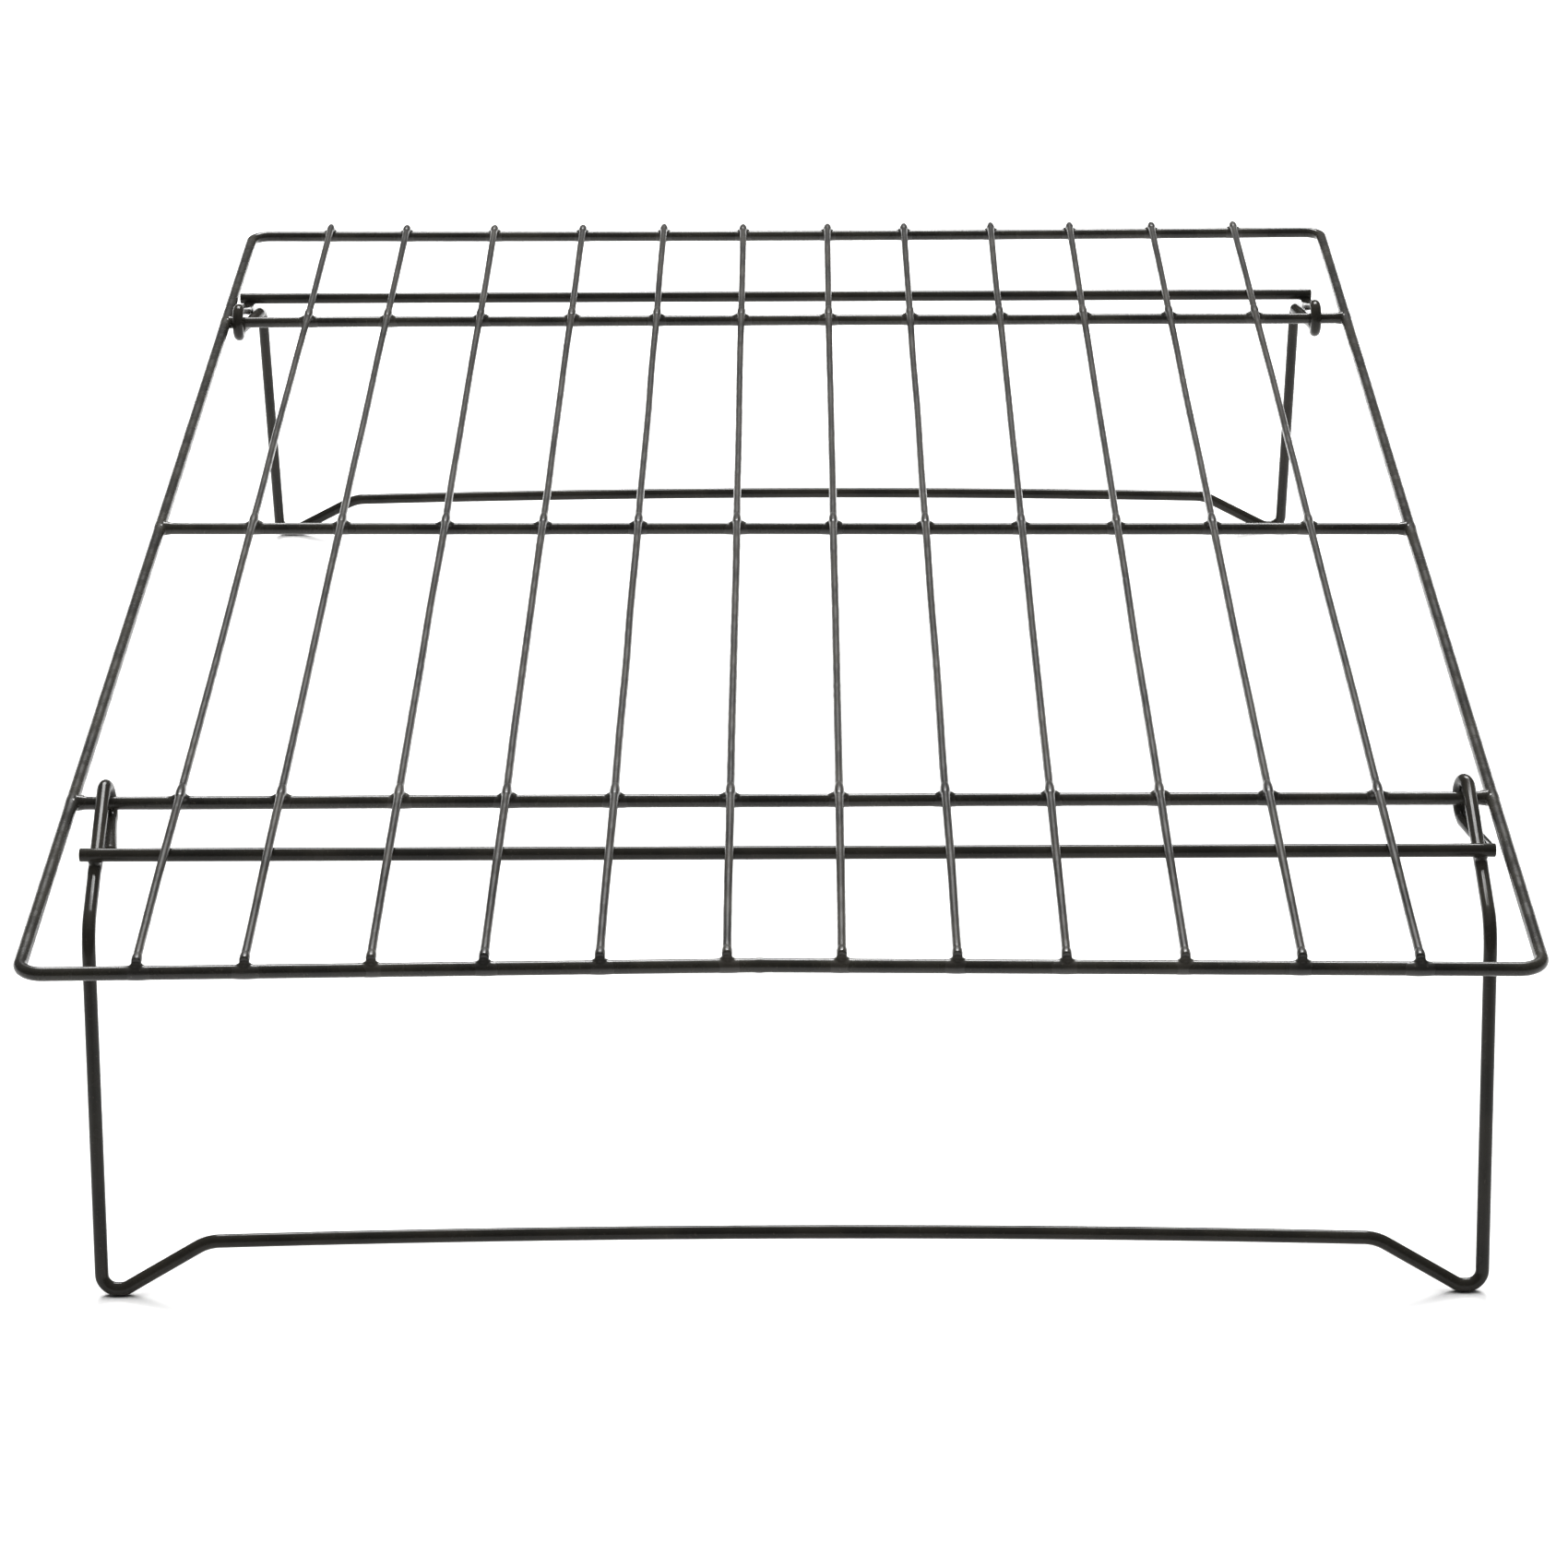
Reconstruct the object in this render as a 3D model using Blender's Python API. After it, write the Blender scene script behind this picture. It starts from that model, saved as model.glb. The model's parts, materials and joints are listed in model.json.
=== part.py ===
"""Folding cooling rack: a wire grid that stands on two swing-out wire legs.

Units are metres and +Z is up. X runs along the front bar, Y from the front bar to
the back bar, and the origin is on the table under the middle of the grid.

The grid is a closed perimeter frame, three cross wires inside it, and a row of thin
grid wires welded on top. Each leg is one bent wire. Its two ends are hooked round a
cross wire, which is the leg's hinge pin, and a straight stop bar is welded across its
two strands. When the leg is out, the stop bar presses up under the grid wires, so the
leg can't open any further. It folds inwards, under the grid.

Welded and touching wires keep a small gap, so that each wire is a solid of its own.
"""

import math

import bpy
from mathutils import Quaternion, Vector

# Overall sizes
RACK_LENGTH = 0.400             # front to back, over the frame
RACK_WIDTH = 0.250              # left to right, over the frame
GRID_HEIGHT = 0.0693            # table to the centre of the frame wire

# Wire stock
THICK_WIRE = 0.0024             # frame, cross wires, legs and stop bars
THIN_WIRE = 0.0015              # grid wires
WIRE_SIDES = 12
BEVEL_RESOLUTION = 4            # a curve with this bevel has WIRE_SIDES sides
HALF_SIDE = math.pi / WIRE_SIDES
WELD_GAP = 0.00015              # between two wires that are welded or touch
TURNING_GAP = 0.0005            # between a hook and the wire that it turns on

# Perimeter frame
CORNER_RADIUS = 0.004           # to the wire's centre
FRONT_WELD_X = -0.0034          # where the two ends of the loop meet
FRONT_WELD_INSET = 0.0024       # the front bar is drawn in a little at that weld
BACK_BAR_BOW = 0.0010           # the back bar's middle bends inwards by this

# Cross wires, front to back
FRONT_PIVOT_Y = -0.1295
CENTRE_WIRE_LEFT_Y = 0.0064     # the centre wire is welded in a little askew
CENTRE_WIRE_RIGHT_Y = 0.0036
REAR_PIVOT_Y = 0.1357

# Grid wires: even spaces, and how far each wire strays from its place in millimetres
FRONT_DRIFT_MM = (0.3, -1.3, 0.2, -0.5, -0.7, 0.9, 0.5, 0.2, -1.1, -1.0, -1.1, -1.0)
BACK_DRIFT_MM = (-0.9, -2.3, -0.9, 0.5, 0.3, -0.5, 0.0, -1.4, -0.3, -1.0, -1.1, -1.2)
GRID_WIRES = len(FRONT_DRIFT_MM)

# Legs. "Out" is the distance from the hinge, away from the middle of the rack.
LEG_HALF_WIDTH = 0.1176         # middle of the leg to a foot
SHOULDER_LEAN = 0.25            # share of a strand's lean that is left at its shoulder
SHOULDER_OUT = 0.0384           # where the strand turns down
SHOULDER_RADIUS = 0.0070
FOOT_OUT = 0.0511
FOOT_RADIUS = 0.0026
FOOT_FLAT = 0.0008              # straight run that stands on the table
BAR_RAISE = 0.0084              # ends of the long bottom bar, above the feet
BAR_BOW = 0.0013                # the middle of that bar, above its ends
BAR_HALF_LENGTH = 0.0993
BAR_RADIUS = 0.0080
FRONT_STOP_LENGTH = 0.2413
REAR_STOP_LENGTH = 0.2398
FRONT_STOP_OUT = 0.0222
REAR_STOP_OUT = 0.0169
FRONT_LEG_SHIFT = 0.0015        # each leg sits a little to one side
REAR_LEG_SHIFT = -0.0018
FRONT_STOP_X = 0.0010           # middle of each stop bar
REAR_STOP_X = -0.0023
FRONT_LEG_TILT = math.radians(12.26)    # turns the wire's flat sides, so that each
REAR_LEG_TILT = math.radians(-1.91)     # foot stands on one
BEND_STEPS = 6
BOW_STEPS = 8

# Hooks: (lean of the strand away from the leg's middle at the hinge, drop of the tail
# below the hinge, how far out the tail starts to spread, tail length, how far the wire
# lies inwards of that lean behind the hinge, under the hinge and at the tail's end)
FRONT_LEFT_HOOK = (0.0019, 0.0032, 0.001, 0.0140, 0.0004, 0.0009, 0.0024)
FRONT_RIGHT_HOOK = (0.0003, 0.0039, 0.001, 0.0135, 0.0010, 0.0006, -0.0025)
REAR_LEFT_HOOK = (0.0014, 0.0029, 0.004, 0.0156, 0.0, 0.0, 0.0030)
REAR_RIGHT_HOOK = (0.0011, 0.0029, 0.004, 0.0156, 0.0, 0.0, 0.0030)
LOOP_STEPS = 12

FRAME_HALF_X = (RACK_WIDTH - THICK_WIRE) / 2
FRAME_HALF_Y = (RACK_LENGTH - THICK_WIRE) / 2
GRID_WIRE_HEIGHT = GRID_HEIGHT + (THICK_WIRE + THIN_WIRE) / 2 + WELD_GAP
CROSS_WIRE_HALF_LENGTH = FRAME_HALF_X - THICK_WIRE / 2 - WELD_GAP
STRAND_OVER_HINGE = THICK_WIRE + TURNING_GAP
STRAND_UNDER_BAR = THICK_WIRE + WELD_GAP
FOOT_DROP = GRID_HEIGHT - THICK_WIRE / 2 * math.cos(HALF_SIDE)


def clear_scene():
    for thing in list(bpy.data.objects):
        bpy.data.objects.remove(thing, do_unlink=True)


def make_collection(name):
    collection = bpy.data.collections.new(name)
    bpy.context.scene.collection.children.link(collection)
    return collection


def coating_material(name, colour, roughness):
    """Baked black coating over steel wire."""
    material = bpy.data.materials.new(name)
    material.use_nodes = True
    shader = material.node_tree.nodes["Principled BSDF"]
    shader.inputs["Base Color"].default_value = (*colour, 1.0)
    shader.inputs["Roughness"].default_value = roughness
    shader.inputs["Metallic"].default_value = 0.0
    return material


def corner_arc(before, corner, after, radius):
    """Points of the arc that rounds the corner between two straight runs."""
    into = (corner - before).normalized()
    out = (after - corner).normalized()
    turn = into.angle(out)
    start = corner - into * radius * math.tan(turn / 2)
    side = (out - into * into.dot(out)).normalized()
    points = []
    for step in range(BEND_STEPS + 1):
        angle = turn * step / BEND_STEPS
        along = into * radius * math.sin(angle)
        across = side * radius * (1 - math.cos(angle))
        points.append(start + along + across)
    return points


def wire_curve(name, route, closed, twist_mode, tilt, material, collection):
    """A thick wire along a route: a round curve with filled ends."""
    curve = bpy.data.curves.new(name, "CURVE")
    curve.dimensions = "3D"
    curve.twist_mode = twist_mode
    curve.bevel_depth = THICK_WIRE / 2
    curve.bevel_resolution = BEVEL_RESOLUTION
    curve.use_fill_caps = not closed
    spline = curve.splines.new("POLY")
    spline.points.add(len(route) - 1)
    for point, place in zip(spline.points, route):
        point.co = (*place, 1.0)
        point.tilt = tilt
    spline.use_cyclic_u = closed
    spline.use_smooth = True
    curve.materials.append(material)
    wire = bpy.data.objects.new(name, curve)
    collection.objects.link(wire)
    return wire


def straight_wire(name, start, end, diameter, material, collection):
    """A straight cut length of wire, with one of its flat sides up."""
    run = end - start
    bpy.ops.mesh.primitive_cylinder_add(
        vertices=WIRE_SIDES,
        radius=diameter / 2,
        depth=run.length,
        end_fill_type="NGON",
    )
    wire = bpy.context.object
    wire.name = name
    wire.data.name = name
    wire.rotation_mode = "QUATERNION"
    wire.location = (start + end) / 2
    half_side_turn = Quaternion((0, 0, 1), HALF_SIDE)
    wire.rotation_quaternion = run.to_track_quat("Z", "Y") @ half_side_turn
    wire.data.shade_smooth()
    wire.data.set_sharp_from_angle(angle=math.radians(45))
    wire.data.materials.append(material)
    for owner in list(wire.users_collection):
        owner.objects.unlink(wire)
    collection.objects.link(wire)
    return wire


def front_bar_y(x):
    """The front bar's centre: two straight halves that meet at the weld."""
    corner_x = math.copysign(FRAME_HALF_X - CORNER_RADIUS, x - FRONT_WELD_X)
    share = (corner_x - x) / (corner_x - FRONT_WELD_X)
    return -FRAME_HALF_Y + FRONT_WELD_INSET * share


def back_bar_y(x):
    """The back bar's centre: a shallow bow."""
    share = x / (FRAME_HALF_X - CORNER_RADIUS)
    return FRAME_HALF_Y - BACK_BAR_BOW * (1 - share * share)


def build_frame(material, collection):
    """The perimeter loop, from the weld round to the weld again."""
    weld = Vector((FRONT_WELD_X, front_bar_y(FRONT_WELD_X), GRID_HEIGHT))
    front_y = -FRAME_HALF_Y
    right_front = Vector((FRAME_HALF_X, front_y, GRID_HEIGHT))
    right_back = Vector((FRAME_HALF_X, FRAME_HALF_Y, GRID_HEIGHT))
    left_back = Vector((-FRAME_HALF_X, FRAME_HALF_Y, GRID_HEIGHT))
    left_front = Vector((-FRAME_HALF_X, front_y, GRID_HEIGHT))
    corners = [right_front, right_back, left_back, left_front]
    route = [weld]
    for index, corner in enumerate(corners):
        before = corners[index - 1]
        after = corners[(index + 1) % len(corners)]
        route += corner_arc(before, corner, after, CORNER_RADIUS)
        if corner is right_back:
            last_x = route[-1].x
            for step in range(1, BOW_STEPS):
                x = last_x * (1 - 2 * step / BOW_STEPS)
                route.append(Vector((x, back_bar_y(x), GRID_HEIGHT)))
    return wire_curve("perimeter_frame", route, True, "Z_UP", HALF_SIDE, material, collection)


def build_cross_wires(material, collection):
    places = (
        ("front_pivot_wire", FRONT_PIVOT_Y, FRONT_PIVOT_Y),
        ("centre_cross_wire", CENTRE_WIRE_LEFT_Y, CENTRE_WIRE_RIGHT_Y),
        ("rear_pivot_wire", REAR_PIVOT_Y, REAR_PIVOT_Y),
    )
    for name, left_y, right_y in places:
        left = Vector((-CROSS_WIRE_HALF_LENGTH, left_y, GRID_HEIGHT))
        right = Vector((CROSS_WIRE_HALF_LENGTH, right_y, GRID_HEIGHT))
        straight_wire(name, left, right, THICK_WIRE, material, collection)


def build_grid_wires(material, collection):
    """Thin wires from the front bar's centre to the back bar's outer side."""
    pitch = 2 * FRAME_HALF_X / (GRID_WIRES + 1)
    for index in range(GRID_WIRES):
        place = -FRAME_HALF_X + pitch * (index + 1)
        front_x = place + FRONT_DRIFT_MM[index] / 1000
        back_x = place + BACK_DRIFT_MM[index] / 1000
        front = Vector((front_x, front_bar_y(front_x), GRID_WIRE_HEIGHT))
        back = Vector((back_x, back_bar_y(back_x) + THICK_WIRE / 2, GRID_WIRE_HEIGHT))
        name = f"grid_wire_{index + 1:02d}"
        straight_wire(name, front, back, THIN_WIRE, material, collection)


def strand_slope(stop_out):
    """How steeply a strand falls to pass over the hinge and under the stop bar."""
    return math.asin((STRAND_OVER_HINGE + STRAND_UNDER_BAR) / stop_out)


def hook_route(hook, stop_out):
    """A hook from its tail's end to the strand's start, as (inwards, out, height)."""
    _, drop, tail_start, tail_length, spread_behind, spread_under, spread_end = hook
    bulge = spread_behind - spread_under / 2
    points = [(spread_end, tail_length, -drop), (spread_under, tail_start, -drop)]
    top_angle = math.pi / 2 - strand_slope(stop_out)
    sweep = 3 * math.pi / 2 - top_angle
    for step in range(LOOP_STEPS + 1):
        share = step / LOOP_STEPS
        angle = 3 * math.pi / 2 - sweep * share
        radius = drop + (STRAND_OVER_HINGE - drop) * share
        inwards = spread_under * (1 - share) + bulge * math.sin(math.pi * share)
        points.append((inwards, radius * math.cos(angle), radius * math.sin(angle)))
    return points


def half_leg(side, hook, stop_out):
    """Half of a leg wire, from the hook's tail to the bend where the long bar starts.

    The leg's own frame has the hinge along X and the leg reaching out along -Y.
    """
    slope = strand_slope(stop_out)
    foot_x = side * LEG_HALF_WIDTH
    lean = side * hook[0]
    route = []
    for inwards, out, height in hook_route(hook, stop_out):
        route.append(Vector((foot_x + lean - side * inwards, -out, height)))
    strand_start = route[-1]
    fall = (SHOULDER_OUT + strand_start.y) * math.tan(slope)
    shoulder_x = foot_x + lean * SHOULDER_LEAN
    shoulder = Vector((shoulder_x, -SHOULDER_OUT, strand_start.z - fall))
    heel = Vector((foot_x, -FOOT_OUT, -FOOT_DROP))
    inward = Vector((-side, 0, 0))
    upward = Vector((0, shoulder.y - heel.y, shoulder.z - heel.z)).normalized()
    bar_end = heel + inward * (LEG_HALF_WIDTH - BAR_HALF_LENGTH) + upward * BAR_RAISE
    toe_angle = math.atan2(BAR_RAISE, LEG_HALF_WIDTH - BAR_HALF_LENGTH)
    toe_run = FOOT_RADIUS * (1 + math.tan(toe_angle / 2)) + FOOT_FLAT
    toe = heel + inward * toe_run
    bar_middle = Vector((0, bar_end.y, bar_end.z))
    route += corner_arc(strand_start, shoulder, heel, SHOULDER_RADIUS)
    route += corner_arc(shoulder, heel, toe, FOOT_RADIUS)
    route += corner_arc(heel, toe, bar_end, FOOT_RADIUS)
    route += corner_arc(toe, bar_end, bar_middle, BAR_RADIUS)
    return route, upward


def leg_route(hooks, stop_out):
    """The whole leg wire: left half, the arched bar, and the right half backwards."""
    left, upward = half_leg(-1, hooks[0], stop_out)
    right, _ = half_leg(1, hooks[1], stop_out)
    bar_start = left[-1]
    bar_end = right[-1]
    arch = []
    for step in range(1, BEND_STEPS):
        share = step / BEND_STEPS
        rise = BAR_BOW * (1 - (2 * share - 1) ** 2)
        arch.append(bar_start.lerp(bar_end, share) + upward * rise)
    return left + arch + right[::-1]


def build_leg(name, hinge_y, shift, facing, hooks, stop, tilt, material, collection):
    """A leg wire and its stop bar, under an empty on the hinge axis.

    The stop is the bar's distance out from the hinge, its middle's X and its length.
    """
    stop_out, stop_x, stop_length = stop
    hinge = bpy.data.objects.new(f"{name}_hinge", None)
    hinge.location = (shift, hinge_y, GRID_HEIGHT)
    hinge.rotation_euler = (0, 0, facing)
    collection.objects.link(hinge)
    route = leg_route(hooks, stop_out)
    wire = wire_curve(
        f"{name}_wire", route, False, "MINIMUM", tilt, material, collection)
    bar_x = (stop_x - shift) * math.cos(facing)
    left = Vector((bar_x - stop_length / 2, -stop_out, 0))
    right = Vector((bar_x + stop_length / 2, -stop_out, 0))
    bar = straight_wire(
        name.replace("leg", "stop_bar"), left, right, THICK_WIRE, material, collection)
    wire.parent = hinge
    bar.parent = hinge


def main():
    clear_scene()
    collection = make_collection("cooling_rack")
    frame_coating = coating_material("frame_coating", (0.022, 0.022, 0.020), 0.38)
    grid_coating = coating_material("grid_wire_coating", (0.045, 0.045, 0.042), 0.42)
    leg_coating = coating_material("leg_coating", (0.016, 0.016, 0.015), 0.32)
    build_frame(frame_coating, collection)
    build_cross_wires(frame_coating, collection)
    build_grid_wires(grid_coating, collection)
    build_leg(
        "front_leg", FRONT_PIVOT_Y, FRONT_LEG_SHIFT, 0.0,
        (FRONT_LEFT_HOOK, FRONT_RIGHT_HOOK),
        (FRONT_STOP_OUT, FRONT_STOP_X, FRONT_STOP_LENGTH),
        FRONT_LEG_TILT, leg_coating, collection)
    build_leg(
        "rear_leg", REAR_PIVOT_Y, REAR_LEG_SHIFT, math.pi,
        (REAR_RIGHT_HOOK, REAR_LEFT_HOOK),
        (REAR_STOP_OUT, REAR_STOP_X, REAR_STOP_LENGTH),
        REAR_LEG_TILT, leg_coating, collection)


main()
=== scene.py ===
"""Looks of the folding cooling rack: round coated wires, their welds and the studio.

Every CAD node is replaced by a finer wire along the same route, and each rigid body
carries its own welds. Lengths are metres, except that the hooks and the welds are
given in millimetres; a weld's mesh is scaled down when it is finished.
"""

import json
import math

import bmesh
import bpy
from mathutils import Matrix, Vector, noise


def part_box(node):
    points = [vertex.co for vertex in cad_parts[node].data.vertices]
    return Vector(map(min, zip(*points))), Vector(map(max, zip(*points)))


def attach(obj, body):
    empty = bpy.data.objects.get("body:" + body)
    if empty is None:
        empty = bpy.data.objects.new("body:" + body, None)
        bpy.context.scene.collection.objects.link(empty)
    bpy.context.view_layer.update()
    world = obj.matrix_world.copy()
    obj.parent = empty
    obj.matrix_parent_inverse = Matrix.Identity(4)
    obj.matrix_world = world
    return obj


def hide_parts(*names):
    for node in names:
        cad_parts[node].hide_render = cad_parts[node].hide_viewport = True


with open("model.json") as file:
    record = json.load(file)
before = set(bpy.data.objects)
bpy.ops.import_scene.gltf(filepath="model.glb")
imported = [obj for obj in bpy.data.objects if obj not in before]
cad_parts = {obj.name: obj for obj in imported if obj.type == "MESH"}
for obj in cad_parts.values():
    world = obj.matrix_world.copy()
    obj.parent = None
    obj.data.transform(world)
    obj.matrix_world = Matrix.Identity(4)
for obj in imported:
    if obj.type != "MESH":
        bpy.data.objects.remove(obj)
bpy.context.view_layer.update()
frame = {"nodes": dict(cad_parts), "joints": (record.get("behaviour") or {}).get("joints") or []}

MM = 0.001

# Wire stock
THICK_RADIUS = 1.18 * MM
THIN_RADIUS = 0.75 * MM
WIRE_SIDES = 28
CUT_ROUNDING = 0.22 * MM        # how far a cut end is rounded over
CUT_STEPS = 4
LONGEST_STEP = 5.0 * MM         # between two rings of a straight run
WELD_PIECES = 12                # short rings per run at the frame's butt weld
BEND_STEPS = 18
ARCH_STEPS = 24

# Waviness of drawn and straightened stock
WAVES_PER_METRE = 22.0
WAVE_SEED = 1                   # fixes the noise; 0 would take the clock instead
WAVE_STEP = (7.3, 3.1)          # how far apart two wires are in the noise, along X and Z
CROSS_WIRE_WANDER = 0.08 * MM
GRID_WIRE_WANDER = 0.16 * MM

# Frame loop, as in the CAD model
CORNER_RADIUS = 4.0 * MM
FRAME_WELD_X = -3.4 * MM
FRAME_WELD_INSET = 2.4 * MM
FRAME_WELD_WIDTH = 0.7 * MM
FRAME_WELD_RISE = 0.09 * MM
BACK_RIGHT = 1                  # which corner the back bar starts from
BACK_BAR_BOW = 1.0 * MM
BOW_STEPS = 24
CROSS_WIRE_OVERLAP = 0.4 * MM   # how far a cross wire's ends run on into their welds

# Grid wires
PRESSED_IN = 0.02 * MM          # how deep a grid wire is sunk into the bars
TIP_POINTS = (2.0 * MM, 1.3 * MM, 0.6 * MM)     # closer rings in front of a wire's tip
TIP_TAPER = 0.92

# Legs, as in the CAD model. "Out" is the distance from the hinge.
LEG_HALF_WIDTH = 117.6 * MM
SHOULDER_LEAN = 0.25
SHOULDER_OUT = 38.4 * MM
SHOULDER_RADIUS = 7.0 * MM
FOOT_OUT = 51.1 * MM
FOOT_RADIUS = 2.6 * MM
FOOT_FLAT = 0.8 * MM
BAR_RAISE = 8.4 * MM
BAR_BOW = 1.3 * MM
BAR_HALF_LENGTH = 99.3 * MM
BAR_RADIUS = 8.0 * MM
STRAND_OVER_HINGE = 2.9 * MM
STRAND_UNDER_BAR = 2.55 * MM
FRONT_LEG_SHIFT = 1.5 * MM
REAR_LEG_SHIFT = -1.8 * MM
LOOP_STEPS = 36

# Hooks, in millimetres: lean of the strand at the hinge, drop of the tail below the
# hinge, how far out the tail starts to spread, tail length, and how far the wire lies
# inwards of that lean behind the hinge, under the hinge and at the tail's end
FRONT_LEFT_HOOK = (1.9, 3.2, 1.0, 14.0, 0.4, 0.9, 2.4)
FRONT_RIGHT_HOOK = (0.3, 3.9, 1.0, 13.5, 1.0, 0.6, -2.5)
REAR_LEFT_HOOK = (1.4, 2.9, 4.0, 15.6, 0.0, 0.0, 3.0)
REAR_RIGHT_HOOK = (1.1, 2.9, 4.0, 15.6, 0.0, 0.0, 3.0)

# Welds, in millimetres. A collar is the radius of a wire's skin at the start, middle
# and end of its melted stretch, a reach is half of that stretch, and a bead is the
# half sizes of a blob of weld metal.
THIN_COLLAR = (0.72, 0.93, 0.72)
FRONT_END_COLLAR = (0.80, 0.90, 0.72)
BACK_END_COLLAR = (0.72, 0.95, 0.78)
BAR_COLLAR = (1.12, 1.27, 1.12)
SIDE_COLLAR = (1.12, 1.26, 1.12)
CROSS_END_COLLAR = (1.50, 1.30, 1.12)
STOP_BAR_COLLAR = (1.12, 1.23, 1.12)
STRAND_COLLAR = (1.12, 1.25, 1.12)
THIN_REACH = 2.6
CROSSING_BAR_REACH = 2.8
END_BAR_REACH = 2.6
SIDE_REACH = 3.2
STRAND_REACH = 3.4
FRONT_END_LENGTH = 2.8
BACK_TIP_LENGTH = 0.9
BACK_TIP_DROP = 0.10
CROSS_END_FROM = 0.7            # inwards of a side wire's centre
CROSS_END_TO = 3.0
STOP_BAR_OUTWARDS = 0.9         # from a strand's centre
STOP_BAR_INWARDS = 3.2
CROSSING_BEAD = (0.78, 0.98, 0.44)
FRONT_CAP_BEAD = (0.92, 0.75, 0.55)
FRONT_SIDE_BEAD = (0.52, 0.70, 0.36)
BACK_BEAD = (1.50, 0.80, 0.50)
SPUR_BEAD = (0.50, 0.50, 0.50)
STRAND_BEAD = (1.25, 1.35, 0.60)
FINE_VOXEL = 0.16
COARSE_VOXEL = 0.18
SMOOTHING = 6
STRAND_SMOOTHING = 7
COLLAR_RINGS = 9
COLLAR_SIDES = 20

# Studio: each softbox's place, size and power
OVERHEAD = ((0.0, 0.2, 1.8), (2.4, 2.4), 62.0)
BACK_STRIP = ((0.0, 1.5, 1.7), (1.1, 0.7), 62.0)
ROOM_LIGHT = (0.10, 3.0)        # strength of the room's light, in front and at the back
ROOM_BRIGHTENS = (-0.95, 0.0)   # Y of the directions that it changes between
FLOOR_SIZE = 10.0
FLOOR_PLACE = (0.0, 1.5, -0.00002)

# Camera
CAMERA_PLACE = (0.004577, -0.961417, 0.432617)
CAMERA_LENS = 119.59
CAMERA_DOWN = math.radians(23.41)
CAMERA_LEFT = math.radians(0.287)
CAMERA_ROLL = math.radians(-0.320)


# ---------------------------------------------------------------- materials

MIX_COLOUR_A = 6                # a Mix node's sockets have the same names three times,
MIX_COLOUR_B = 7                # so its colour ones are named by their place
MIX_COLOUR_OUT = 2

# Grain of the coatings and the paper: noise cells per metre, and the part of the
# noise's range that each one is spread over
CLOUDS = 90.0
CLOUD_RANGE = (0.28, 0.74)
DUST = 2600.0
DUST_RANGE = (0.66, 0.74)
DUST_STRENGTH = 0.6
GLOSS_PATCHES = 260.0
GLOSS_RANGE = (0.35, 0.68)
PEEL = 900.0
PEEL_HEIGHT = 0.05 * MM
PAPER_GRAIN = 30.0
PAPER_RANGE = (0.3, 0.7)


def link(tree, source, output, target, socket):
    tree.links.new(source.outputs[output], target.inputs[socket])


def add_noise(tree, coordinates, scale, detail, roughness=0.5):
    texture = tree.nodes.new("ShaderNodeTexNoise")
    texture.inputs["Scale"].default_value = scale
    texture.inputs["Detail"].default_value = detail
    texture.inputs["Roughness"].default_value = roughness
    link(tree, coordinates, "Object", texture, "Vector")
    return texture


def add_range(tree, source, between, values, output="Fac"):
    """A smooth step from one value to another across a range of the source."""
    node = tree.nodes.new("ShaderNodeMapRange")
    node.interpolation_type = "SMOOTHSTEP"
    node.inputs["From Min"].default_value, node.inputs["From Max"].default_value = between
    node.inputs["To Min"].default_value, node.inputs["To Max"].default_value = values
    link(tree, source, output, node, "Value")
    return node


def add_mix(tree, factor, light):
    """A colour mix node; its first colour is set or linked by the caller."""
    node = tree.nodes.new("ShaderNodeMix")
    node.data_type = "RGBA"
    node.inputs[MIX_COLOUR_B].default_value = (*light, 1.0)
    link(tree, factor, "Result", node, "Factor")
    return node


def coating(name, dark, light, speck, ior, gloss, peel):
    """Baked black coating: cloudy tint, pale dust specks, uneven gloss, orange peel.

    Gloss is the lowest and highest roughness, and peel the strength of the bumps.
    """
    material = bpy.data.materials.new(name)
    material.use_nodes = True
    tree = material.node_tree
    shader = tree.nodes["Principled BSDF"]
    shader.inputs["Metallic"].default_value = 0.0
    shader.inputs["IOR"].default_value = ior
    shader.inputs["Coat Weight"].default_value = 0.2
    shader.inputs["Coat IOR"].default_value = 1.4
    shader.inputs["Coat Roughness"].default_value = 0.10
    coordinates = tree.nodes.new("ShaderNodeTexCoord")

    clouds = add_noise(tree, coordinates, CLOUDS, 4.0)
    tint = add_mix(tree, add_range(tree, clouds, CLOUD_RANGE, (0.0, 1.0)), light)
    tint.inputs[MIX_COLOUR_A].default_value = (*dark, 1.0)
    dust = add_noise(tree, coordinates, DUST, 2.0)
    specks = add_mix(tree, add_range(tree, dust, DUST_RANGE, (0.0, DUST_STRENGTH)), speck)
    tree.links.new(tint.outputs[MIX_COLOUR_OUT], specks.inputs[MIX_COLOUR_A])
    tree.links.new(specks.outputs[MIX_COLOUR_OUT], shader.inputs["Base Color"])

    patches = add_noise(tree, coordinates, GLOSS_PATCHES, 3.0)
    roughness = add_range(tree, patches, GLOSS_RANGE, gloss)
    link(tree, roughness, "Result", shader, "Roughness")

    ripple = add_noise(tree, coordinates, PEEL, 3.0, 0.55)
    bump = tree.nodes.new("ShaderNodeBump")
    bump.inputs["Strength"].default_value = peel
    bump.inputs["Distance"].default_value = PEEL_HEIGHT
    link(tree, ripple, "Fac", bump, "Height")
    link(tree, bump, "Normal", shader, "Normal")
    return material


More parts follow.
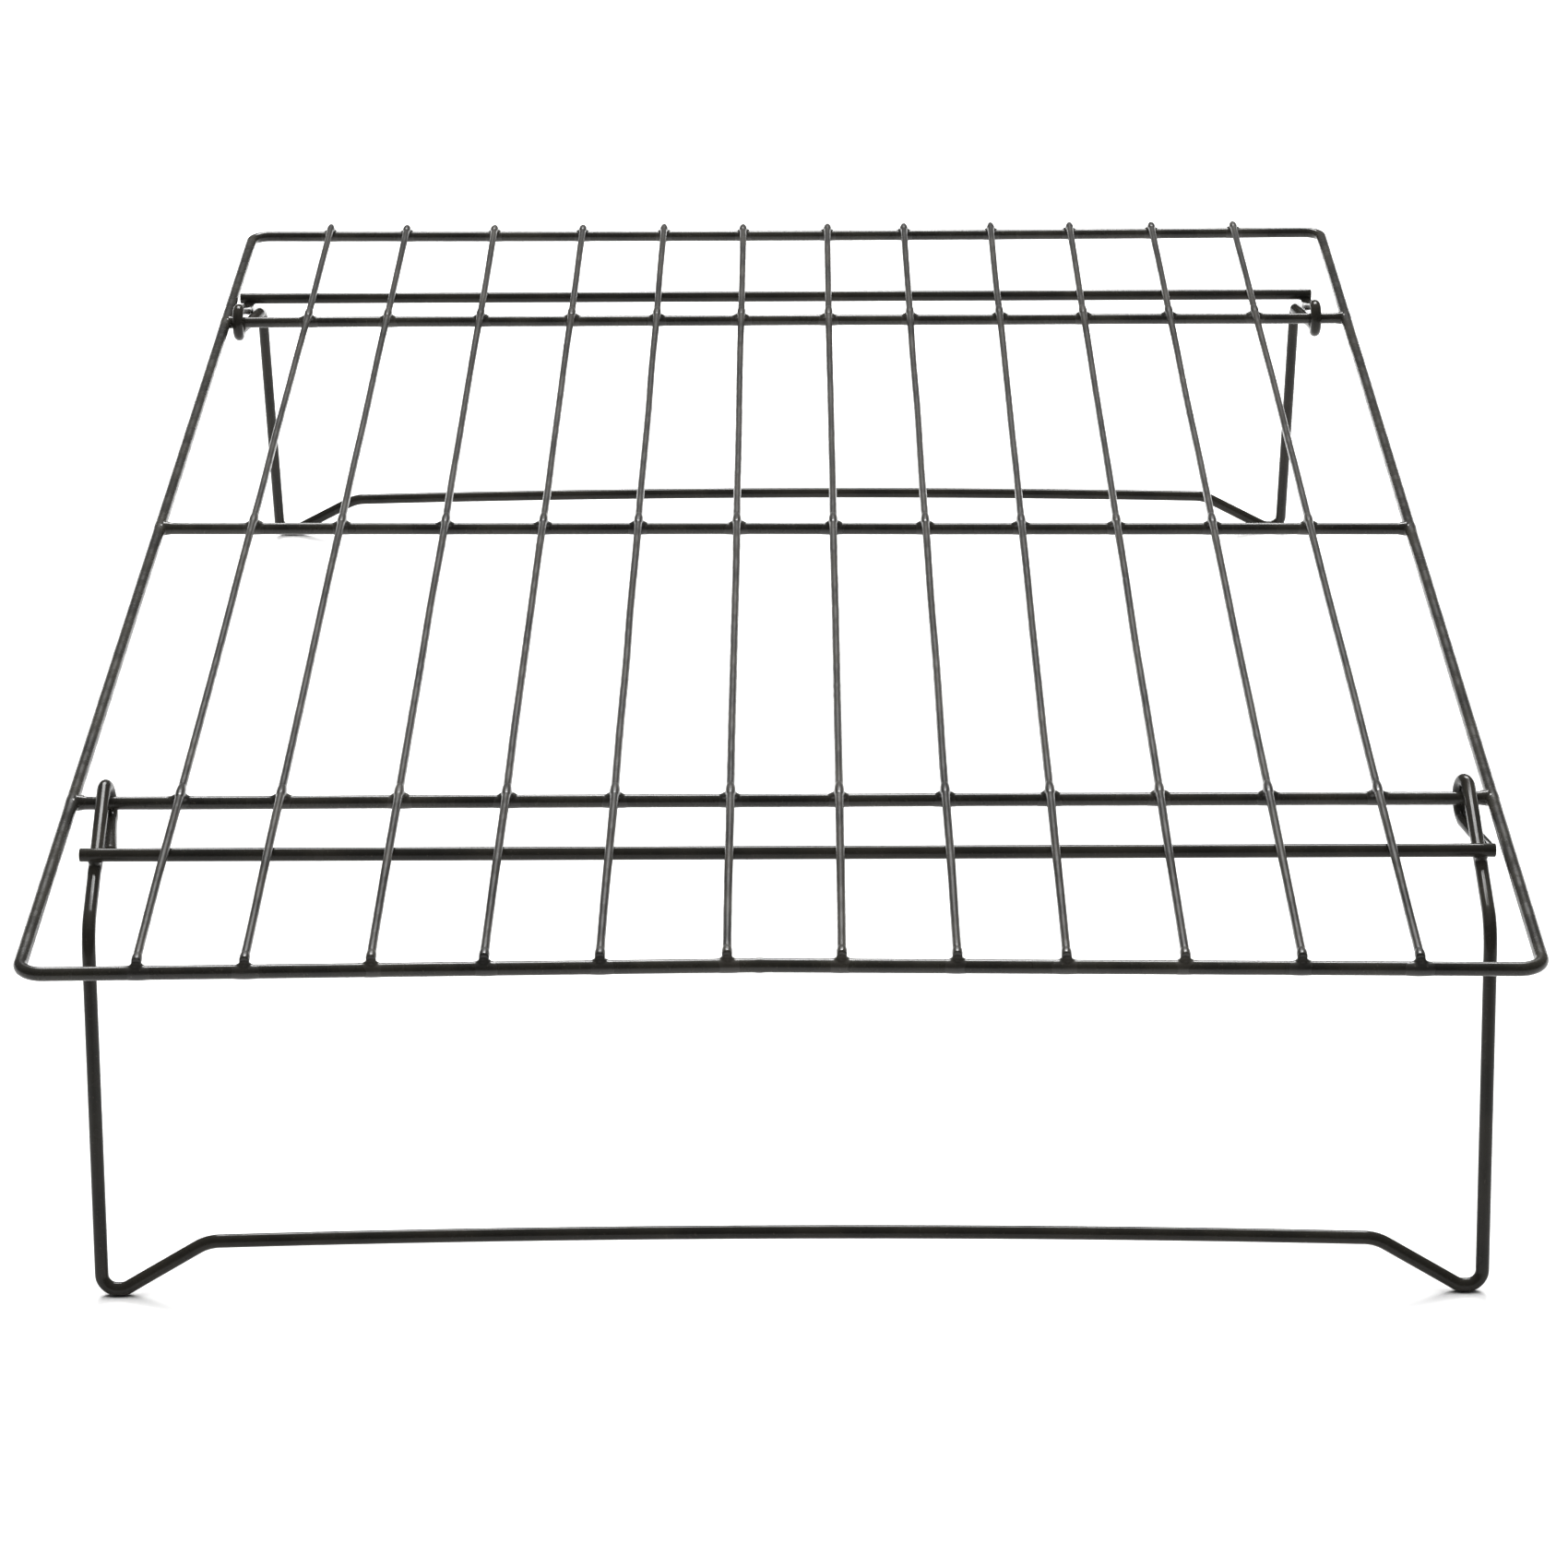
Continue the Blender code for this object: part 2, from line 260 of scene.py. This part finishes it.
def floor_material():
    """Matt white paper sweep with a hardly visible tooth."""
    material = bpy.data.materials.new("studio_paper")
    material.use_nodes = True
    tree = material.node_tree
    shader = tree.nodes["Principled BSDF"]
    shader.inputs["Roughness"].default_value = 0.9
    shader.inputs["Specular IOR Level"].default_value = 0.1
    coordinates = tree.nodes.new("ShaderNodeTexCoord")
    grain = add_noise(tree, coordinates, PAPER_GRAIN, 3.0)
    paleness = add_range(tree, grain, PAPER_RANGE, (0.0, 1.0))
    tint = add_mix(tree, paleness, (0.92, 0.92, 0.915))
    tint.inputs[MIX_COLOUR_A].default_value = (0.90, 0.90, 0.90, 1.0)
    tree.links.new(tint.outputs[MIX_COLOUR_OUT], shader.inputs["Base Color"])
    return material


# ---------------------------------------------------------------- wire building

def link_object(thing):
    bpy.context.scene.collection.objects.link(thing)
    return thing


def corner_arc(before, corner, after, radius):
    """Points of the arc that rounds the corner between two straight runs."""
    into = (corner - before).normalized()
    out = (after - corner).normalized()
    turn = into.angle(out)
    start = corner - into * radius * math.tan(turn / 2)
    side = (out - into * into.dot(out)).normalized()
    points = []
    for step in range(BEND_STEPS + 1):
        angle = turn * step / BEND_STEPS
        along = into * radius * math.sin(angle)
        across = side * radius * (1 - math.cos(angle))
        points.append(start + along + across)
    return points


def fill_runs(route, closed):
    """Adds points so that no two neighbours are further apart than LONGEST_STEP."""
    last = len(route) if closed else len(route) - 1
    points = []
    for index in range(last):
        here = route[index]
        there = route[(index + 1) % len(route)]
        pieces = max(1, math.ceil((there - here).length / LONGEST_STEP))
        for piece in range(pieces):
            points.append(here.lerp(there, piece / pieces))
    if not closed:
        points.append(route[-1])
    return points


def refine_near(route, place):
    """Adds close-set points to the runs of a closed route that meet at a place."""
    points = []
    for index, here in enumerate(route):
        there = route[(index + 1) % len(route)]
        is_near = min((here - place).length, (there - place).length) < LONGEST_STEP
        pieces = WELD_PIECES if is_near else 1
        for piece in range(pieces):
            points.append(here.lerp(there, piece / pieces))
    return points


def wander(route, amount, number):
    """Gives a wire the slight waviness of drawn and straightened stock."""
    apart = Vector((number * WAVE_STEP[0], 0.0, number * WAVE_STEP[1]))
    points = []
    for point in route:
        drift = noise.noise_vector(point * WAVES_PER_METRE + apart)
        points.append(point + drift * amount)
    return points


def tangents_of(route, closed):
    tangents = []
    for index in range(len(route)):
        if closed:
            ahead = route[(index + 1) % len(route)]
            behind = route[index - 1]
        else:
            ahead = route[min(index + 1, len(route) - 1)]
            behind = route[max(index - 1, 0)]
        tangents.append((ahead - behind).normalized())
    return tangents


def cut_end(route, radii, at_start):
    """Replaces a wire's last ring by rings that round its cut edge over."""
    order = slice(None, None, -1) if at_start else slice(None)
    points = route[order]
    sizes = radii[order]
    tip = points[-1]
    size = sizes[-1]
    along = (points[-1] - points[-2]).normalized()
    points = points[:-1]
    sizes = sizes[:-1]
    for step in range(CUT_STEPS + 1):
        angle = math.pi / 2 * step / CUT_STEPS
        back = CUT_ROUNDING * (1 - math.sin(angle))
        points.append(tip - along * back)
        sizes.append(size - CUT_ROUNDING * (1 - math.cos(angle)))
    return points[order], sizes[order]


def sweep(name, route, radii, material, closed=False):
    """A closed tube mesh along a route, with a ring of WIRE_SIDES corners per point."""
    if not closed:
        route, radii = cut_end(route, radii, at_start=True)
        route, radii = cut_end(route, radii, at_start=False)
    tangents = tangents_of(route, closed)
    starts_upright = abs(tangents[0].z) > 0.9
    normal = Vector((1.0, 0.0, 0.0)) if starts_upright else Vector((0.0, 0.0, 1.0))
    mesh = bmesh.new()
    rings = []
    for point, tangent, radius in zip(route, tangents, radii):
        normal = (normal - tangent * normal.dot(tangent)).normalized()
        side = tangent.cross(normal)
        ring = []
        for corner in range(WIRE_SIDES):
            angle = math.tau * corner / WIRE_SIDES
            reach = normal * math.cos(angle) + side * math.sin(angle)
            ring.append(mesh.verts.new(point + reach * radius))
        rings.append(ring)
    pairs = list(zip(rings, rings[1:]))
    if closed:
        pairs.append((rings[-1], rings[0]))
    for ring, following in pairs:
        for corner in range(WIRE_SIDES):
            after = (corner + 1) % WIRE_SIDES
            mesh.faces.new((ring[corner], ring[after], following[after], following[corner]))
    if not closed:
        mesh.faces.new(rings[0][::-1])
        mesh.faces.new(rings[-1])
    bmesh.ops.recalc_face_normals(mesh, faces=mesh.faces)
    data = bpy.data.meshes.new(name)
    mesh.to_mesh(data)
    mesh.free()
    data.shade_smooth()
    data.materials.append(material)
    return link_object(bpy.data.objects.new(name, data))


def straight_ends(node):
    """The centres of a straight CAD wire's two ends."""
    low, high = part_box(node)
    size = high - low
    axis = max(range(3), key=lambda index: size[index])
    middle = (low[axis] + high[axis]) / 2
    ends = []
    for is_far in (False, True):
        corners = [v.co for v in frame["nodes"][node].data.vertices
                   if (v.co[axis] > middle) == is_far]
        ends.append(sum(corners, Vector()) / len(corners))
    return ends


def finish_piece(piece, body, slot, *nodes):
    """Gives a piece its body, and hides the CAD nodes that it stands for, if any. The slot is
    not used.
    """
    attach(piece, body)
    if nodes:
        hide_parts(*nodes)


# ---------------------------------------------------------------- the grid

def front_bar_y(x, half_x, half_y):
    """The front bar's centre: two straight halves that meet at the weld."""
    corner_x = math.copysign(half_x - CORNER_RADIUS, x - FRAME_WELD_X)
    share = (corner_x - x) / (corner_x - FRAME_WELD_X)
    return -half_y + FRAME_WELD_INSET * share


def back_bar_y(x, half_x, half_y):
    """The back bar's centre: a shallow bow."""
    share = x / (half_x - CORNER_RADIUS)
    return half_y - BACK_BAR_BOW * (1 - share * share)


def build_frame(material, half_x, half_y, height):
    weld = Vector((FRAME_WELD_X, front_bar_y(FRAME_WELD_X, half_x, half_y), height))
    corners = [                 # anticlockwise from the front right one
        Vector((half_x, -half_y, height)),
        Vector((half_x, half_y, height)),
        Vector((-half_x, half_y, height)),
        Vector((-half_x, -half_y, height)),
    ]
    route = [weld]
    for index, corner in enumerate(corners):
        before = corners[index - 1]
        after = corners[(index + 1) % len(corners)]
        route += corner_arc(before, corner, after, CORNER_RADIUS)
        if index == BACK_RIGHT:
            last_x = route[-1].x
            for step in range(1, BOW_STEPS):
                x = last_x * (1 - 2 * step / BOW_STEPS)
                route.append(Vector((x, back_bar_y(x, half_x, half_y), height)))
    route = fill_runs(route, closed=True)
    route = refine_near(route, weld)
    radii = []
    for point in route:
        share = (point - weld).length / FRAME_WELD_WIDTH
        radii.append(THICK_RADIUS + FRAME_WELD_RISE * math.exp(-share * share))
    loop = sweep("perimeter_frame_wire", route, radii, material, closed=True)
    finish_piece(loop, "grid", "frame_coating", "perimeter_frame")


def build_cross_wire(node, number, material):
    left, right = straight_ends(node)
    overlap = Vector((CROSS_WIRE_OVERLAP, 0.0, 0.0))
    route = fill_runs([left - overlap, right + overlap], closed=False)
    route = wander(route, CROSS_WIRE_WANDER, number)
    radii = [THICK_RADIUS] * len(route)
    wire = sweep(f"{node}_round", route, radii, material)
    finish_piece(wire, "grid", "frame_coating", node)


def build_grid_wire(node, number, sink, material):
    """A thin wire, sunk into its welds, with a tapered tip behind the back bar.

    The route is returned, because the welds follow it.
    """
    front, back = straight_ends(node)
    down = Vector((0.0, 0.0, -sink))
    route = fill_runs([front + down, back + down], closed=False)
    along = (route[-1] - route[-2]).normalized()
    tip = route[-1]
    route = route[:-1]
    route += [tip - along * back_from_tip for back_from_tip in TIP_POINTS] + [tip]
    route = wander(route, GRID_WIRE_WANDER, number)
    radii = [THIN_RADIUS] * (len(route) - 1) + [TIP_TAPER * THIN_RADIUS]
    wire = sweep(f"{node}_round", route, radii, material)
    finish_piece(wire, "grid", "grid_wire_coating", node)
    return route


# ---------------------------------------------------------------- the legs

def strand_slope(stop_out):
    """How steeply a strand falls to pass over the hinge and under the stop bar."""
    return math.asin((STRAND_OVER_HINGE + STRAND_UNDER_BAR) / stop_out)


def hook_route(hook, stop_out):
    """A hook from its tail's end to the strand's start, as (inwards, out, height)."""
    _, drop, tail_start, tail_length, spread_behind, spread_under, spread_end = hook
    bulge = spread_behind - spread_under / 2
    points = [(spread_end, tail_length, -drop), (spread_under, tail_start, -drop)]
    top_angle = math.pi / 2 - strand_slope(stop_out)
    bottom_angle = 3 * math.pi / 2
    turn = bottom_angle - top_angle
    for step in range(LOOP_STEPS + 1):
        share = step / LOOP_STEPS
        angle = bottom_angle - turn * share
        radius = drop + (STRAND_OVER_HINGE - drop) * share
        inwards = spread_under * (1 - share) + bulge * math.sin(math.pi * share)
        points.append((inwards, radius * math.cos(angle), radius * math.sin(angle)))
    return points


def half_leg(side, hook, stop_out, foot_drop):
    """Half of a leg wire, from the hook's tail to the bend where the long bar starts."""
    slope = strand_slope(stop_out)
    foot_x = side * LEG_HALF_WIDTH
    lean = side * hook[0]
    route = []
    for inwards, out, height in hook_route(hook, stop_out):
        route.append(Vector((foot_x + lean - side * inwards, -out, height)))
    strand_start = route[-1]
    fall = (SHOULDER_OUT + strand_start.y) * math.tan(slope)
    shoulder_x = foot_x + lean * SHOULDER_LEAN
    shoulder = Vector((shoulder_x, -SHOULDER_OUT, strand_start.z - fall))
    heel = Vector((foot_x, -FOOT_OUT, -foot_drop))
    inward = Vector((-side, 0, 0))
    upward = Vector((0, shoulder.y - heel.y, shoulder.z - heel.z)).normalized()
    bar_end = heel + inward * (LEG_HALF_WIDTH - BAR_HALF_LENGTH) + upward * BAR_RAISE
    toe_angle = math.atan2(BAR_RAISE, LEG_HALF_WIDTH - BAR_HALF_LENGTH)
    toe_run = FOOT_RADIUS * (1 + math.tan(toe_angle / 2)) + FOOT_FLAT
    toe = heel + inward * toe_run
    bar_middle = Vector((0, bar_end.y, bar_end.z))
    route += corner_arc(strand_start, shoulder, heel, SHOULDER_RADIUS)
    route += corner_arc(shoulder, heel, toe, FOOT_RADIUS)
    route += corner_arc(heel, toe, bar_end, FOOT_RADIUS)
    route += corner_arc(toe, bar_end, bar_middle, BAR_RADIUS)
    return route, upward


def leg_route(hooks, stop_out, foot_drop):
    """The whole leg wire: left half, the arched bar, and the right half backwards."""
    left, upward = half_leg(-1, hooks[0], stop_out, foot_drop)
    right, _ = half_leg(1, hooks[1], stop_out, foot_drop)
    arch = []
    for step in range(1, ARCH_STEPS):
        share = step / ARCH_STEPS
        rise = BAR_BOW * (1 - (2 * share - 1) ** 2)
        arch.append(left[-1].lerp(right[-1], share) + upward * rise)
    return left + arch + right[::-1]


def build_leg(leg, hinge, shift, facing, hooks, material):
    """A leg wire and its stop bar, in place on the hinge."""
    stop_bar = leg.replace("leg", "stop_bar")
    bar_left, bar_right = straight_ends(stop_bar)
    stop_out = abs(bar_left.y - hinge.y)
    foot_low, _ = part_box(f"{leg}_wire")
    foot_drop = hinge.z - foot_low.z - THICK_RADIUS
    place = Matrix.Translation((shift, hinge.y, hinge.z)) @ Matrix.Rotation(facing, 4, "Z")
    hooks = [tuple(value * MM for value in hook) for hook in hooks]
    route = [place @ point for point in leg_route(hooks, stop_out, foot_drop)]
    route = fill_runs(route, closed=False)
    radii = [THICK_RADIUS] * len(route)
    wire = sweep(f"{leg}_wire_round", route, radii, material)
    finish_piece(wire, leg, "leg_coating", f"{leg}_wire")
    bar_route = fill_runs([bar_left, bar_right], closed=False)
    bar = sweep(f"{stop_bar}_round", bar_route, [THICK_RADIUS] * len(bar_route), material)
    finish_piece(bar, leg, "leg_coating", stop_bar)
    return place, stop_out


# ---------------------------------------------------------------- welds

def add_spindle(mesh, start, end, collar):
    """A round bar whose radius runs smoothly through a collar's three values."""
    start_radius, middle_radius, end_radius = collar
    along = end - start
    turn = along.to_track_quat("Z", "Y").to_matrix()
    loops = []
    for index in range(COLLAR_RINGS):
        share = index / (COLLAR_RINGS - 1)
        ends = start_radius + (end_radius - start_radius) * share
        middle = middle_radius - (start_radius + end_radius) / 2
        radius = ends + middle * (1 - (2 * share - 1) ** 2)
        centre = start + along * share
        loop = []
        for corner in range(COLLAR_SIDES):
            angle = math.tau * corner / COLLAR_SIDES
            reach = turn @ Vector((math.cos(angle), math.sin(angle), 0.0))
            loop.append(mesh.verts.new(centre + reach * radius))
        loops.append(loop)
    for loop, following in zip(loops, loops[1:]):
        for corner in range(COLLAR_SIDES):
            after = (corner + 1) % COLLAR_SIDES
            mesh.faces.new((loop[corner], loop[after], following[after], following[corner]))
    mesh.faces.new(loops[0][::-1])
    mesh.faces.new(loops[-1])


def add_blob(mesh, centre, bead):
    """An ellipsoid of weld metal, in millimetres."""
    shape = Matrix.Translation(centre) @ Matrix.Diagonal((*bead, 1.0))
    bmesh.ops.create_icosphere(mesh, subdivisions=3, radius=1.0, matrix=shape)


def fuse(name, mesh, voxel, smoothing, material):
    """Melts the shapes in a millimetre bmesh together and returns a mesh in metres."""
    data = bpy.data.meshes.new(name)
    bmesh.ops.recalc_face_normals(mesh, faces=mesh.faces)
    mesh.to_mesh(data)
    mesh.free()
    rough = link_object(bpy.data.objects.new(f"{name}_rough", data))
    remesh = rough.modifiers.new("Melt", "REMESH")
    remesh.mode = "VOXEL"
    remesh.voxel_size = voxel
    smooth = rough.modifiers.new("Flow", "SMOOTH")
    smooth.factor = 0.5
    smooth.iterations = smoothing
    graph = bpy.context.evaluated_depsgraph_get()
    fused = bpy.data.meshes.new_from_object(rough.evaluated_get(graph))
    bpy.data.objects.remove(rough, do_unlink=True)
    bpy.data.meshes.remove(data)
    fused.transform(Matrix.Scale(MM, 4))
    fused.shade_smooth()
    fused.materials.clear()
    fused.materials.append(material)
    return fused


def crossing_weld(name, lift, lean, material):
    """A thin wire pressed into the thick wire below it, with a fillet on each side."""
    mesh = bmesh.new()
    thin_centre = Vector((0.0, 0.0, lift))
    along = Vector((0.0, THIN_REACH, 0.0))
    across = Vector((CROSSING_BAR_REACH, 0.0, 0.0))
    add_spindle(mesh, thin_centre - along, thin_centre + along, THIN_COLLAR)
    add_spindle(mesh, -across, across, BAR_COLLAR)
    for side in (-1, 1):
        aside = 0.85 + 0.12 * side * lean
        add_blob(mesh, (side * aside, 0.15 * lean, 1.10), CROSSING_BEAD)
    return fuse(name, mesh, FINE_VOXEL, SMOOTHING, material)


def front_end_weld(name, lift, lean, material):
    """The melted front end of a thin wire on the front bar."""
    mesh = bmesh.new()
    start = Vector((0.0, 0.05, lift))
    end = start + Vector((0.0, FRONT_END_LENGTH, 0.0))
    add_spindle(mesh, start, end, FRONT_END_COLLAR)
    across = Vector((END_BAR_REACH, 0.0, 0.0))
    add_spindle(mesh, -across, across, BAR_COLLAR)
    add_blob(mesh, (0.10 * lean, 0.05, 1.35), FRONT_CAP_BEAD)
    for side in (-1, 1):
        add_blob(mesh, (side * 0.78, 0.30, 1.02), FRONT_SIDE_BEAD)
    return fuse(name, mesh, FINE_VOXEL, SMOOTHING, material)


def back_end_weld(name, lift, lean, material):
    """The weld under a thin wire's tip on the back bar."""
    mesh = bmesh.new()
    start = Vector((0.0, -THIN_REACH, lift))
    tip = Vector((0.0, BACK_TIP_LENGTH, lift - BACK_TIP_DROP))
    add_spindle(mesh, start, tip, BACK_END_COLLAR)
    across = Vector((END_BAR_REACH, 0.0, 0.0))
    add_spindle(mesh, -across, across, BAR_COLLAR)
    add_blob(mesh, (0.08 * lean, 0.30, 1.15), BACK_BEAD)
    return fuse(name, mesh, FINE_VOXEL, SMOOTHING, material)


def side_weld(name, spur_side, material):
    """The end of a cross wire, which runs off along +X, on the inside of a side wire.

    A spur of weld metal stands up on one side of it.
    """
    mesh = bmesh.new()
    along = Vector((0.0, SIDE_REACH, 0.0))
    add_spindle(mesh, -along, along, SIDE_COLLAR)
    start = Vector((CROSS_END_FROM, 0.0, 0.0))
    end = Vector((CROSS_END_TO, 0.0, 0.0))
    add_spindle(mesh, start, end, CROSS_END_COLLAR)
    add_blob(mesh, (1.65, spur_side * 1.45, 0.45), SPUR_BEAD)
    return fuse(name, mesh, COARSE_VOXEL, SMOOTHING, material)


def strand_weld(name, side, slope, material):
    """A stop bar, along X, welded across the top of a strand on one side of a leg."""
    mesh = bmesh.new()
    run = Vector((0.0, -math.cos(slope), -math.sin(slope)))
    up = Vector((0.0, -math.sin(slope), math.cos(slope)))
    below = up * (-STRAND_UNDER_BAR / MM)
    outer = Vector((side * STOP_BAR_OUTWARDS, 0.0, 0.0))
    inner = Vector((side * -STOP_BAR_INWARDS, 0.0, 0.0))
    add_spindle(mesh, outer, inner, STOP_BAR_COLLAR)
    reach = run * STRAND_REACH
    add_spindle(mesh, below - reach, below + reach, STRAND_COLLAR)
    add_blob(mesh, below / 2, STRAND_BEAD)
    return fuse(name, mesh, COARSE_VOXEL, STRAND_SMOOTHING, material)


def scatter(name, meshes, places, material):
    """One object with a copy of a weld mesh at every place, taking turns."""
    joined = bmesh.new()
    for index, place in enumerate(places):
        copy = meshes[index % len(meshes)].copy()
        copy.transform(place)
        joined.from_mesh(copy)
        bpy.data.meshes.remove(copy)
    data = bpy.data.meshes.new(name)
    joined.to_mesh(data)
    joined.free()
    data.shade_smooth()
    data.materials.append(material)
    return link_object(bpy.data.objects.new(name, data))


def x_where(route, y):
    """A thin wire's centre at a distance along the rack."""
    for here, there in zip(route, route[1:]):
        if here.y <= y <= there.y:
            return here.lerp(there, (y - here.y) / (there.y - here.y)).x
    return route[-1].x if y > route[-1].y else route[0].x


def build_grid_welds(routes, lift, half_y, cross_ends, half_x, height, thin, thick):
    """The welds of the thin wires, and those of the cross wires' ends."""
    flipped = Matrix.Rotation(math.pi, 4, "Z")
    leans = (-1.0, 0.0, 1.0)
    crossing = [crossing_weld("crossing", lift, lean, thin) for lean in leans]
    rows = ("front_pivot", "centre", "rear_pivot")
    for row, (left, right) in enumerate(cross_ends):
        places = []
        for index, route in enumerate(routes):
            x = x_where(route, (left.y + right.y) / 2)
            y = left.lerp(right, (x - left.x) / (right.x - left.x)).y
            place = Matrix.Translation((x, y, height))
            places.append(place @ flipped if (row + index) % 2 else place)
        welds = scatter(f"{rows[row]}_crossing_welds", crossing, places, thin)
        finish_piece(welds, "grid", "grid_wire_coating")

    front = [front_end_weld("front_end", lift, lean, thin) for lean in leans]
    back = [back_end_weld("back_end", lift, lean, thin) for lean in leans]
    front_places = []
    back_places = []
    for route in routes:
        front_places.append(Matrix.Translation((route[0].x, route[0].y, height)))
        x = x_where(route, half_y)
        back_places.append(Matrix.Translation((x, back_bar_y(x, half_x, half_y), height)))
    front_welds = scatter("front_end_welds", front, front_places, thin)
    finish_piece(front_welds, "grid", "grid_wire_coating")
    back_welds = scatter("back_end_welds", back, back_places, thin)
    finish_piece(back_welds, "grid", "grid_wire_coating")

    sides = [side_weld("side", spur_side, thick) for spur_side in (1, -1)]
    side_places = []
    for left, right in cross_ends:
        side_places.append(Matrix.Translation((-half_x, left.y, height)))
        side_places.append(Matrix.Translation((half_x, right.y, height)) @ flipped)
    side_welds = scatter("cross_wire_welds", sides, side_places, thick)
    finish_piece(side_welds, "grid", "frame_coating")


def build_leg_welds(leg, place, stop_out, hooks, material):
    """The welds of a stop bar, where each strand passes under it."""
    slope = strand_slope(stop_out)
    shapes = [strand_weld("strand", side, slope, material) for side in (-1, 1)]
    lean_left = 1 - (1 - SHOULDER_LEAN) * stop_out / SHOULDER_OUT
    places = []
    for side, hook in zip((-1, 1), hooks):
        x = side * (LEG_HALF_WIDTH + hook[0] * MM * lean_left)
        places.append(place @ Matrix.Translation((x, -stop_out, 0.0)))
    welds = scatter(f"{leg}_stop_bar_welds", shapes, places, material)
    finish_piece(welds, leg, "leg_coating")


# ---------------------------------------------------------------- studio

def build_floor():
    bpy.ops.mesh.primitive_plane_add(size=FLOOR_SIZE, location=FLOOR_PLACE)
    floor = bpy.context.object
    floor.name = "studio_floor"
    floor.data.materials.append(floor_material())


def build_world():
    """A dim room, darkest on the camera's side, so that the wires' fronts stay black."""
    world = bpy.data.worlds.new("studio")
    bpy.context.scene.world = world
    world.use_nodes = True
    tree = world.node_tree
    background = tree.nodes["Background"]
    coordinates = tree.nodes.new("ShaderNodeTexCoord")
    parts = tree.nodes.new("ShaderNodeSeparateXYZ")
    link(tree, coordinates, "Generated", parts, "Vector")
    ramp = add_range(tree, parts, ROOM_BRIGHTENS, ROOM_LIGHT, output="Y")
    link(tree, ramp, "Result", background, "Strength")


def add_softbox(name, box, in_reflections):
    """A soft light that is aimed at the middle of the rack's footprint."""
    place, size, power = box
    light = bpy.data.lights.new(name, "AREA")
    light.shape = "RECTANGLE"
    light.size, light.size_y = size
    light.energy = power
    lamp = link_object(bpy.data.objects.new(name, light))
    lamp.location = place
    aim = Vector() - Vector(place)
    lamp.rotation_euler = aim.to_track_quat("-Z", "Y").to_euler()
    lamp.visible_glossy = in_reflections


def build_camera():
    lens = bpy.data.cameras.new("camera")
    lens.lens = CAMERA_LENS
    lens.sensor_width = 36.0
    lens.clip_start = 0.05
    camera = link_object(bpy.data.objects.new("camera", lens))
    turn = Matrix.Rotation(CAMERA_LEFT, 4, "Z")
    tilt = Matrix.Rotation(math.pi / 2 - CAMERA_DOWN, 4, "X")
    roll = Matrix.Rotation(CAMERA_ROLL, 4, "Z")
    camera.matrix_world = Matrix.Translation(CAMERA_PLACE) @ turn @ tilt @ roll
    bpy.context.scene.camera = camera


# ---------------------------------------------------------------- assembly

def main():
    noise.seed_set(WAVE_SEED)

    frame_coating = coating(
        "frame_coating", dark=(0.0125, 0.0120, 0.0108), light=(0.027, 0.025, 0.020),
        speck=(0.07, 0.064, 0.052), ior=1.28, gloss=(0.22, 0.34), peel=0.25)
    grid_coating = coating(
        "grid_wire_coating", dark=(0.014, 0.0135, 0.0125), light=(0.034, 0.031, 0.026),
        speck=(0.09, 0.085, 0.07), ior=1.35, gloss=(0.28, 0.42), peel=0.35)
    leg_coating = coating(
        "leg_coating", dark=(0.0135, 0.0130, 0.0115), light=(0.0235, 0.0215, 0.0175),
        speck=(0.05, 0.045, 0.035), ior=1.16, gloss=(0.16, 0.28), peel=0.22)

    frame_low, frame_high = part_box("perimeter_frame")
    height = (frame_low.z + frame_high.z) / 2
    half_wire = (frame_high.z - frame_low.z) / 2
    half_x = frame_high.x - half_wire
    half_y = frame_high.y - half_wire
    build_frame(frame_coating, half_x, half_y, height)

    cross_nodes = ("front_pivot_wire", "centre_cross_wire", "rear_pivot_wire")
    cross_ends = [straight_ends(node) for node in cross_nodes]
    for number, node in enumerate(cross_nodes):
        build_cross_wire(node, number, frame_coating)

    thin_nodes = sorted(node for node in frame["nodes"] if node.startswith("grid_wire"))
    first_low, first_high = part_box(thin_nodes[0])
    thin_height = (first_low.z + first_high.z) / 2
    sink = thin_height - height - THICK_RADIUS - THIN_RADIUS + PRESSED_IN
    routes = []
    for number, node in enumerate(thin_nodes):
        routes.append(build_grid_wire(node, number, sink, grid_coating))
    lift = (thin_height - sink - height) / MM
    build_grid_welds(
        routes, lift, half_y, cross_ends, half_x, height, grid_coating, frame_coating)

    hinges = {joint["child"]: Vector(joint["pos_m"]) for joint in frame["joints"]}
    legs = (
        ("front_leg", FRONT_LEG_SHIFT, 0.0, (FRONT_LEFT_HOOK, FRONT_RIGHT_HOOK)),
        ("rear_leg", REAR_LEG_SHIFT, math.pi, (REAR_RIGHT_HOOK, REAR_LEFT_HOOK)),
    )
    for leg, shift, facing, hooks in legs:
        place, stop_out = build_leg(leg, hinges[leg], shift, facing, hooks, leg_coating)
        build_leg_welds(leg, place, stop_out, hooks, leg_coating)

    build_floor()
    build_world()
    add_softbox("overhead", OVERHEAD, in_reflections=False)
    add_softbox("back_strip", BACK_STRIP, in_reflections=True)
    build_camera()
    bpy.context.scene.view_settings.view_transform = "Standard"


main()
